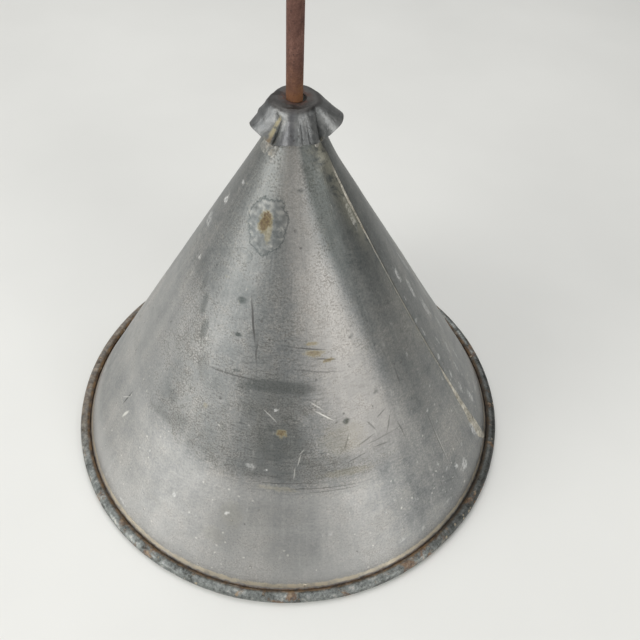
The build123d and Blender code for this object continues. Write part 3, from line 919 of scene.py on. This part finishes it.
def seam_ridge():
    """The run of solder on the lap's outer raw edge, as two grids."""
    heights, lefts, rights, prouds = np.array(SEAM_SOLDER).T

    def place(z, q):
        if q < 0:
            across = q * np.interp(z, heights, lefts) * (1 + 0.4 * wobble(z, 0, 9.1, 4.4))
        else:
            across = q * np.interp(z, heights, rights) * (1 + 0.3 * wobble(z, 7, 7.3, 6.2))
        proud = np.interp(z, heights, prouds) * (1 + 0.35 * wobble(z, 3, 5.4, 1.1)) * rounded(q)
        proud *= smooth(z, SEAM_LOW_Z, SEAM_LOW_Z + 3) * smooth(z, SEAM_HIGH_Z, SEAM_HIGH_Z - 3)
        azimuth = seam_azimuth(cone_r(z)) + turn(across, cone_r(z))
        lift = lap_lift(z)
        ledge = lift if q <= 0 else lift * (1 - q) ** 0.8
        height = ledge + proud * (1 + 0.35 * wobble(z, across, 1.5, 9.0)) - EDGE_TUCK * abs(q)
        return cone_point(azimuth, z, height), cone_point(azimuth, z, (lift if q <= 0 else 0) - SUNK)

    return two_grids(np.arange(SEAM_HIGH_Z, SEAM_LOW_Z, -SEAM_STEP), np.linspace(-1, 1, 17), place)


def inner_ridge():
    """The fillet of solder on the inner raw edge, as two grids."""
    def place(z, q):
        across = q * INNER_HALF_WIDTH * (1 + 0.3 * wobble(z, q, 5, 3.3))
        edge = seam_azimuth(cone_r(z)) - turn(LAP_WIDTH, cone_r(z))
        azimuth = edge + turn(across, cone_r(z) - WALL)
        height = -SHEET - INNER_PROUD * rounded(q) * (1 + 0.5 * wobble(z, across, 2.5, 7.7))
        return cone_point(azimuth, z, height), cone_point(azimuth, z, LUMP_SINK - SHEET)

    rows = np.arange(INNER_SEAM_HIGH_Z, INNER_SEAM_LOW_Z, -INNER_SEAM_STEP)
    return two_grids(rows, np.linspace(-1, 1, 11), place)


def lump(azimuth, spread, low, high, proud, seed, inner=False):
    """A hand-laid patch of solder on the cone's wall, as two grids."""
    def place(v, u):
        reach = 1 + 0.28 * wobble(u * 2, v * 2, 1.1, seed)
        a = azimuth + u * sqrt(1 - 0.5 * v * v) * reach * spread / 2
        z = (low + high) / 2 + v * sqrt(1 - 0.5 * u * u) * reach * (high - low) / 2
        arc = radians(a) * cone_r(z)
        edge = rounded(max(abs(u), abs(v)))
        height = proud * edge * (0.75 + 0.45 * wobble(arc, z, 2.6, seed) + 0.3 * wobble(arc, z, 0.9, seed))
        height -= EDGE_TUCK * (1 - edge)
        if inner:
            return cone_point(a, z, -SHEET - height), cone_point(a, z, LUMP_SINK - SHEET)
        return cone_point(a, z, height), cone_point(a, z, -LUMP_SINK)

    return two_grids(np.linspace(-1, 1, LUMP_STEPS), np.linspace(-1, 1, LUMP_STEPS), place)


def join_shells(shells):
    """The points and faces of several closed shells, as one."""
    points, faces, count = [], [], 0
    for top, bottom in shells:
        shell_points, shell_faces, _ = shell(top, bottom)
        points.append(shell_points)
        faces.append(shell_faces + count)
        count += len(shell_points)
    return np.concatenate(points), np.concatenate(faces)


def solder_material(name, shine, hollow, middle, crest):
    """Dull solder: pale crests, darker hollows, and stains of flux and rust."""
    solder = Surface(name)
    point = solder.object_mm()
    fine, broad = point.noise(1.1, 5, 0.7), point.noise(4.5, 4, 0.6)
    tone = fine * 0.5 + broad * 0.5
    solder.colour = tone.ramp((0.38, hollow), (0.5, middle), (0.62, crest))
    solder.paint(point.parts()[2].between((60, 72), (146, 132)), rgb(128, 130, 127), 0.7)
    flux = point.noise(3.1, 5, 0.7).fade(0.5, 0.6)
    solder.paint(flux, rgb(136, 122, 96), 0.3)
    relief = fine * 0.22 + broad * 0.3
    return solder.finish(flux.fade(0, 1, shine, 0.1), tone.fade(0.35, 0.65, 0.62, 0.45), relief)


seam_metal = solder_material(
    "solder_seam", 0.4, rgb(124, 121, 112), rgb(170, 166, 154), rgb(212, 208, 196))
crust_metal = solder_material(
    "solder_crust", 0.75, rgb(112, 113, 110), rgb(144, 144, 140), rgb(190, 188, 180))
tacks = [lump(*tack, seed) for seed, tack in enumerate(CAP_TACKS)]
patches = [lump(azimuth, *STRAP_PATCH, seed, inner=True) for azimuth, seed in STRAP_SEEDS.items()]
for piece_name, shells, metal, node in (
    ("seam_bead", [seam_ridge()], seam_metal, "seam_solder"),
    ("inner_seam_bead", [inner_ridge()], seam_metal, "inner_seam_solder"),
    ("cap_crust", tacks, crust_metal, "cap_solder"),
    ("strap_patches", patches, crust_metal, "strap_solder"),
):
    add_piece(piece_name, *join_shells(shells), "cone", "solder", [metal], [node])


# ------------------------ fluted cap

CROWN_R = 9.7
CROWN_EDGE_DROP = 0.6  # drops are measured from the cap's highest point
CROWN_DROP, CORNER_DROP = 0.25, 0.3
SHOULDER = 1.6  # how far the crown's rounded edge reaches inward, and down
SKIRT_DROP = CORNER_DROP + SHOULDER
CAP_SHEET = 0.6
CAP_HOLE_R = 3.8
CAP_HOLE_X = 0.45
VALLEY_Z = 179.5
VALLEY_R = cone_r(VALLEY_Z) + 0.12 + 0.72  # clear of the cone by a gap and the cap's own sheet
VALLEY_DROP = CAP_TOP_Z - CROWN_EDGE_DROP - VALLEY_Z
VALLEY_SLOPE = (VALLEY_R - CROWN_R) / VALLEY_DROP
LIP_RISE = 1.07  # how much higher the lip is for each millimetre further out than a valley
HOLLOW = 0.6  # how far a flute's crest is drawn in between the crown and the lip
CAP_COLUMNS, CROWN_ROWS, SHOULDER_ROWS, SKIRT_ROWS = 360, 11, 9, 30
# each flute's left valley, its crest, and its crest's flare from the vertical, all in degrees
FLUTES = ((-97, -72, 38), (-35, 10, 36), (57, 97, 49), (128, 160, 30), (195, 238, 32))
# creases pressed into the front flute: azimuth, half-width in degrees, how far out they stand
CREASES = (
    (-33, 9, 0.75),
    (-14, 8, 0.1),
    (3, 5, -0.3),
    (12, 2.0, 0.3),
    (17, 3, -0.2),
    (22.5, 2.0, 0.3),
    (32, 8, 0.3),
    (45, 5, -0.35),
)
# folds that draw a valley in between the crown and the lip, given in the same way
FOLDS = ((-97, 6.5, -1.9), (57, 7, -0.5), (128, 8, -0.8), (-165, 8, -0.8))
# the valley that leans round the cap: its azimuth, its half-width and how far it leans, in degrees
LEANING_VALLEY = (-33, 24, 17)


def flute_shape(azimuth):
    """How far an azimuth is towards its flute's crest, 0 to 1, and that crest's slope."""
    for index, (valley, crest, flare) in enumerate(FLUTES):
        span = (FLUTES[(index + 1) % len(FLUTES)][0] - valley) % 360
        past = (azimuth - valley) % 360
        if past < span:
            rise = (crest - valley) % 360
            share = past / rise / 2 if past < rise else 0.5 + (past - rise) / (span - rise) / 2
            return sin(pi * share) ** 0.8, tan(radians(flare))
    raise ValueError(azimuth)


def crown_points(x, y, crown_r):
    """The crown from the hole's edge to its rounded edge, a little sunk here and there."""
    hole = Vector((CAP_HOLE_X + CAP_HOLE_R * x, CAP_HOLE_R * y))
    edge = Vector(((crown_r - SHOULDER) * x, (crown_r - SHOULDER) * y))
    for share in np.linspace(0, 1, CROWN_ROWS)[:-1]:
        spot = hole.lerp(edge, share)
        sag = 0.22 * wobble(spot.x, spot.y, 5, 6.6) - 0.3 * bell(spot.y, -7.2, 1.1) * bell(spot.x, 2, 6)
        turned_down = 0.25 * (1 - share) ** 4
        yield spot.x, spot.y, CAP_TOP_Z - CROWN_DROP + min(sag, 0.2) - turned_down


def shoulder_points(x, y, crown_r, slope):
    """The crown's rounded edge, as a curve between the crown and the skirt."""
    start, corner = (crown_r - SHOULDER, CROWN_DROP), (crown_r, CORNER_DROP)
    end = (crown_r + SHOULDER * slope, SKIRT_DROP)
    for share in np.linspace(0, 1, SHOULDER_ROWS)[:-1]:
        weights = (1 - share) ** 2, 2 * share * (1 - share), share**2
        r, drop = (sum(w * p[k] for w, p in zip(weights, (start, corner, end))) for k in (0, 1))
        yield r * x, r * y, CAP_TOP_Z - drop


def skirt_points(azimuth, toward, crown_r, slope):
    """The fluted skirt from the crown down to the lip, with its creases and folds."""
    around = centred(azimuth)
    lip = (VALLEY_DROP - (CROWN_R - VALLEY_R) * LIP_RISE) / (1 + LIP_RISE * slope)
    lip += 0.35 * toward * wobble(around / 17, 5, 1, 3.5)
    creased = sum(proud * bell(around, crease, width) for crease, width, proud in CREASES)
    folded = sum(proud * bell(around, fold, width) for fold, width, proud in FOLDS)
    valley, width, leaning = LEANING_VALLEY
    for share in np.linspace(0, 1, SKIRT_ROWS):
        drop = SKIRT_DROP + (lip + CROWN_EDGE_DROP - SKIRT_DROP) * share
        out = crown_r + (drop - CORNER_DROP) * slope + (CROWN_R - crown_r) * share
        out -= HOLLOW * toward * share * (1 - share)
        out += creased * smooth(share, 0.0, 0.5) + folded * sin(pi * share)
        out += 0.16 * wobble(around * 0.15, drop, 2.6, 4.9) * toward
        lean = leaning * bell(around, valley, width) * (1 - share) * smooth(share, 0, 0.25)
        leant = radians(azimuth + lean)
        yield out * sin(leant), -out * cos(leant), CAP_TOP_Z - drop


def build_cap(material):
    columns = []
    for azimuth in np.arange(CAP_COLUMNS) * 360 / CAP_COLUMNS:
        toward, crest_slope = flute_shape(azimuth)
        slope = VALLEY_SLOPE + (crest_slope - VALLEY_SLOPE) * toward
        around = centred(azimuth)
        crown_r = CROWN_R - 1.3 * bell(around, -123, 26) + 0.25 * wobble(around / 14, 0, 1, 2.5)
        x, y = sin(radians(azimuth)), -cos(radians(azimuth))
        columns.append([
            *crown_points(x, y, crown_r),
            *shoulder_points(x, y, crown_r, slope),
            *skirt_points(azimuth, toward, crown_r, slope),
        ])
    outer = np.array(columns).transpose(1, 0, 2)
    normal = np.cross(np.gradient(outer, axis=0), np.roll(outer, -1, axis=1) - np.roll(outer, 1, axis=1))
    normal /= np.linalg.norm(normal, axis=-1, keepdims=True)
    if normal[0, 0, 2] < 0:
        normal = -normal
    points, faces, _ = shell(outer, outer - CAP_SHEET * normal, wrap=True)
    reach = np.hypot(points[:, 0] - CAP_HOLE_X, points[:, 1])
    polar = np.stack([np.degrees(np.arctan2(points[:, 0], -points[:, 1])), points[:, 2], reach], -1)
    layers = {"polar": polar}
    add_piece("cap_sheet", points, faces, "cone", "cap_sheet", [material], ["fluted_cap"], layers, sharp=50)


def cap_material():
    cap = Surface("cap_zinc")
    point = cap.object_mm()
    azimuth, height, reach = cap.layer("polar").parts()
    cloud = point.noise(7, 4, 0.6, 0.4)
    mottle = point.noise(1.9, 5, 0.65, 0.3)
    grain = point.noise(0.7, 3, 0.6)
    cap.colour = (cloud * 0.45 + mottle * 0.4 + grain * 0.15).ramp(
        (0.36, rgb(96, 99, 99)),
        (0.5, rgb(120, 122, 122)),
        (0.6, rgb(138, 139, 138)),
        (0.7, rgb(162, 161, 158)),
    )
    # painted light and shade on the flutes: a painted highlight on the right flute, painted shadow in the
    # fold on the left, painted light on the flute behind that fold, and painted shade on the left flute and
    # on the left of the front one
    cap.paint(azimuth.between((52, 80), (160, 125, 0.0, 0.45)), rgb(186, 187, 185), 0.5)
    cap.paint(azimuth.between((-125, -117), (-90, -96)), rgb(58, 59, 61), 0.8)
    cap.paint(azimuth.between((-165, -138), (-118, -126)), rgb(176, 178, 178), 0.35)
    cap.paint(azimuth.between((-96, -84), (-30, -44)), rgb(92, 94, 98), 0.2)
    cap.paint((azimuth + height * -1.4).fade(-282, -272) * azimuth.fade(10, 0), rgb(84, 84, 88), 0.55)
    # the crown: dark, rusty round the hole, with the hole's edge in shadow on the right
    cap.paint(height.fade(CAP_TOP_Z - 1.6, CAP_TOP_Z - 0.5), rgb(68, 64, 61), 0.7)
    by_hole = reach.fade(7.4, 4.2) * point.noise(2.2, 4, 0.7).fade(0.4, 0.58)
    cap.paint(by_hole, rgb(88, 52, 38), 0.75)
    cap.paint(reach.fade(4.35, 4.05) * azimuth.fade(10, 45), rgb(30, 22, 18), 0.85)
    # rust and flux that have run down the right side of the left flute
    wander = azimuth + point.noise(3, 3) * 7.0 + height * -1.55
    streak = wander.between((-324.0, -319.5), (-314.0, -317.5)) * height.fade(193.4, 190.5)
    streak = streak * mottle.fade(0.34, 0.5, 0.25, 1.0)
    cap.paint(streak, cap.mix(height.fade(186, 182), rgb(174, 164, 128), rgb(128, 106, 80)), 0.75)
    # dirt on the lip, and dark specks all over
    cap.paint(point.noise(2.6, 4, 0.7).fade(0.5, 0.62) * height.fade(186, 181), rgb(150, 142, 122), 0.5)
    cap.paint(point.specks(2.6, 0.2, 0.1, 1.5, 0.4), rgb(66, 62, 60), 0.45)
    dirty = streak | by_hole
    roughness = mottle.fade(0.3, 0.7, 0.42, 0.54) + dirty * 0.3
    return cap.finish(dirty.fade(0.1, 0.8, 0.88, 0.15), roughness, mottle * 0.12 + grain * 0.04 + cloud * 0.5)


build_cap(cap_material())


# ------------------------ rod, wire, strap, washers and pins

def rust_material(name, deep, bright, crust, pale):
    """Rusty iron: fine pitted scale, with brighter rust where it is fresh."""
    iron = Surface(name)
    point = iron.object_mm()
    height = point.parts()[2]
    scale = point.noise(0.8, 5, 0.7)
    patches = point.noise(6, 5, 0.65, 0.5)
    runs = point.noise(1.4, 3, 0.6, stretch=(1, 1, 0.12))
    tone = scale * 0.4 + patches * 0.4 + runs * 0.2
    iron.colour = tone.ramp((0.36, deep), (0.5, crust), (0.62, bright), (0.72, pale))
    pits = point.specks(1.7, 0.26, 0.1, 1.0, 0.3)
    iron.paint(pits, rgb(42, 28, 24), 0.5)
    # fresher rust towards the cap's hole, and an orange foot just above it
    iron.paint(height.fade(214, 196) * patches.fade(0.36, 0.56, 0.4, 1.0), rgb(118, 80, 46), 0.7)
    iron.paint(height.fade(199.5, 196.5) * scale.fade(0.3, 0.55, 0.4, 1.0), rgb(140, 94, 54), 0.35)
    return iron.finish(0.05, tone.fade(0.35, 0.7, 0.92, 0.7), scale * 0.16 + patches * 0.2 + pits * -0.12)


def steel_material(name, light, dark, rust_share):
    """Dull old steel with a brushed grain and rust in spots."""
    steel = Surface(name)
    point = steel.object_mm()
    brushed = point.noise(0.6, 3, 0.6, stretch=(1, 0.06, 1))
    tone = point.noise(8, 4, 0.6, 0.4) * 0.65 + brushed * 0.35
    steel.colour = tone.ramp((0.36, dark), (0.64, light))
    rust = point.noise(3.4, 5, 0.7, 0.4).fade(0.62 - rust_share, 0.72 - rust_share)
    spots = point.noise(0.9, 4, 0.6).ramp((0.4, rgb(84, 50, 34)), (0.65, rgb(150, 96, 62)))
    steel.paint(rust, spots, 0.9)
    relief = brushed * 0.03 + rust * point.noise(0.7, 4, 0.7) * 0.25
    return steel.finish(rust.fade(0.1, 0.8, 0.9, 0.1), rust.fade(0.0, 1.0, 0.42, 0.85), relief)


CAD_MATERIALS = {
    "centre_rod": rust_material(
        "rod_rust", rgb(70, 44, 38), rgb(116, 82, 70), rgb(92, 62, 52), rgb(138, 112, 96)),
    "rim_wire": rust_material(
        "wire_rust", rgb(44, 34, 28), rgb(96, 66, 46), rgb(66, 50, 40), rgb(120, 96, 76)),
    "guide_strap": steel_material("strap_steel", rgb(150, 149, 146), rgb(102, 103, 104), 0.08),
    "rest_washer": steel_material("washer_steel", rgb(158, 155, 150), rgb(108, 106, 104), 0.14),
    "split_pins": steel_material("pin_steel", rgb(156, 148, 138), rgb(104, 96, 88), 0.18),
}
CAD_MATERIALS["foot_washer"] = CAD_MATERIALS["rest_washer"]
for node, material in CAD_MATERIALS.items():
    for material_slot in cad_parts[node].material_slots:
        material_slot.material = material


# ------------------------ floor

def floor_material():
    paper = Surface("floor")
    tone = paper.object_mm().noise(160, 3, 0.5)
    paper.set("Base Color", tone.ramp((0.3, rgb(224, 225, 222)), (0.7, rgb(230, 231, 228))))
    paper.set("Roughness", 0.55)
    paper.set("Specular IOR Level", 0.3)
    return paper.owner


FLOOR_REACH = 12.0
floor_mesh = bpy.data.meshes.new("floor")
corners = [(x * FLOOR_REACH, y * FLOOR_REACH, 0) for x, y in ((-1, -1), (1, -1), (1, 1), (-1, 1))]
floor_mesh.from_pydata(corners, [], [(0, 1, 2, 3)])
floor_mesh.materials.append(floor_material())
floor = add_object("floor", floor_mesh)
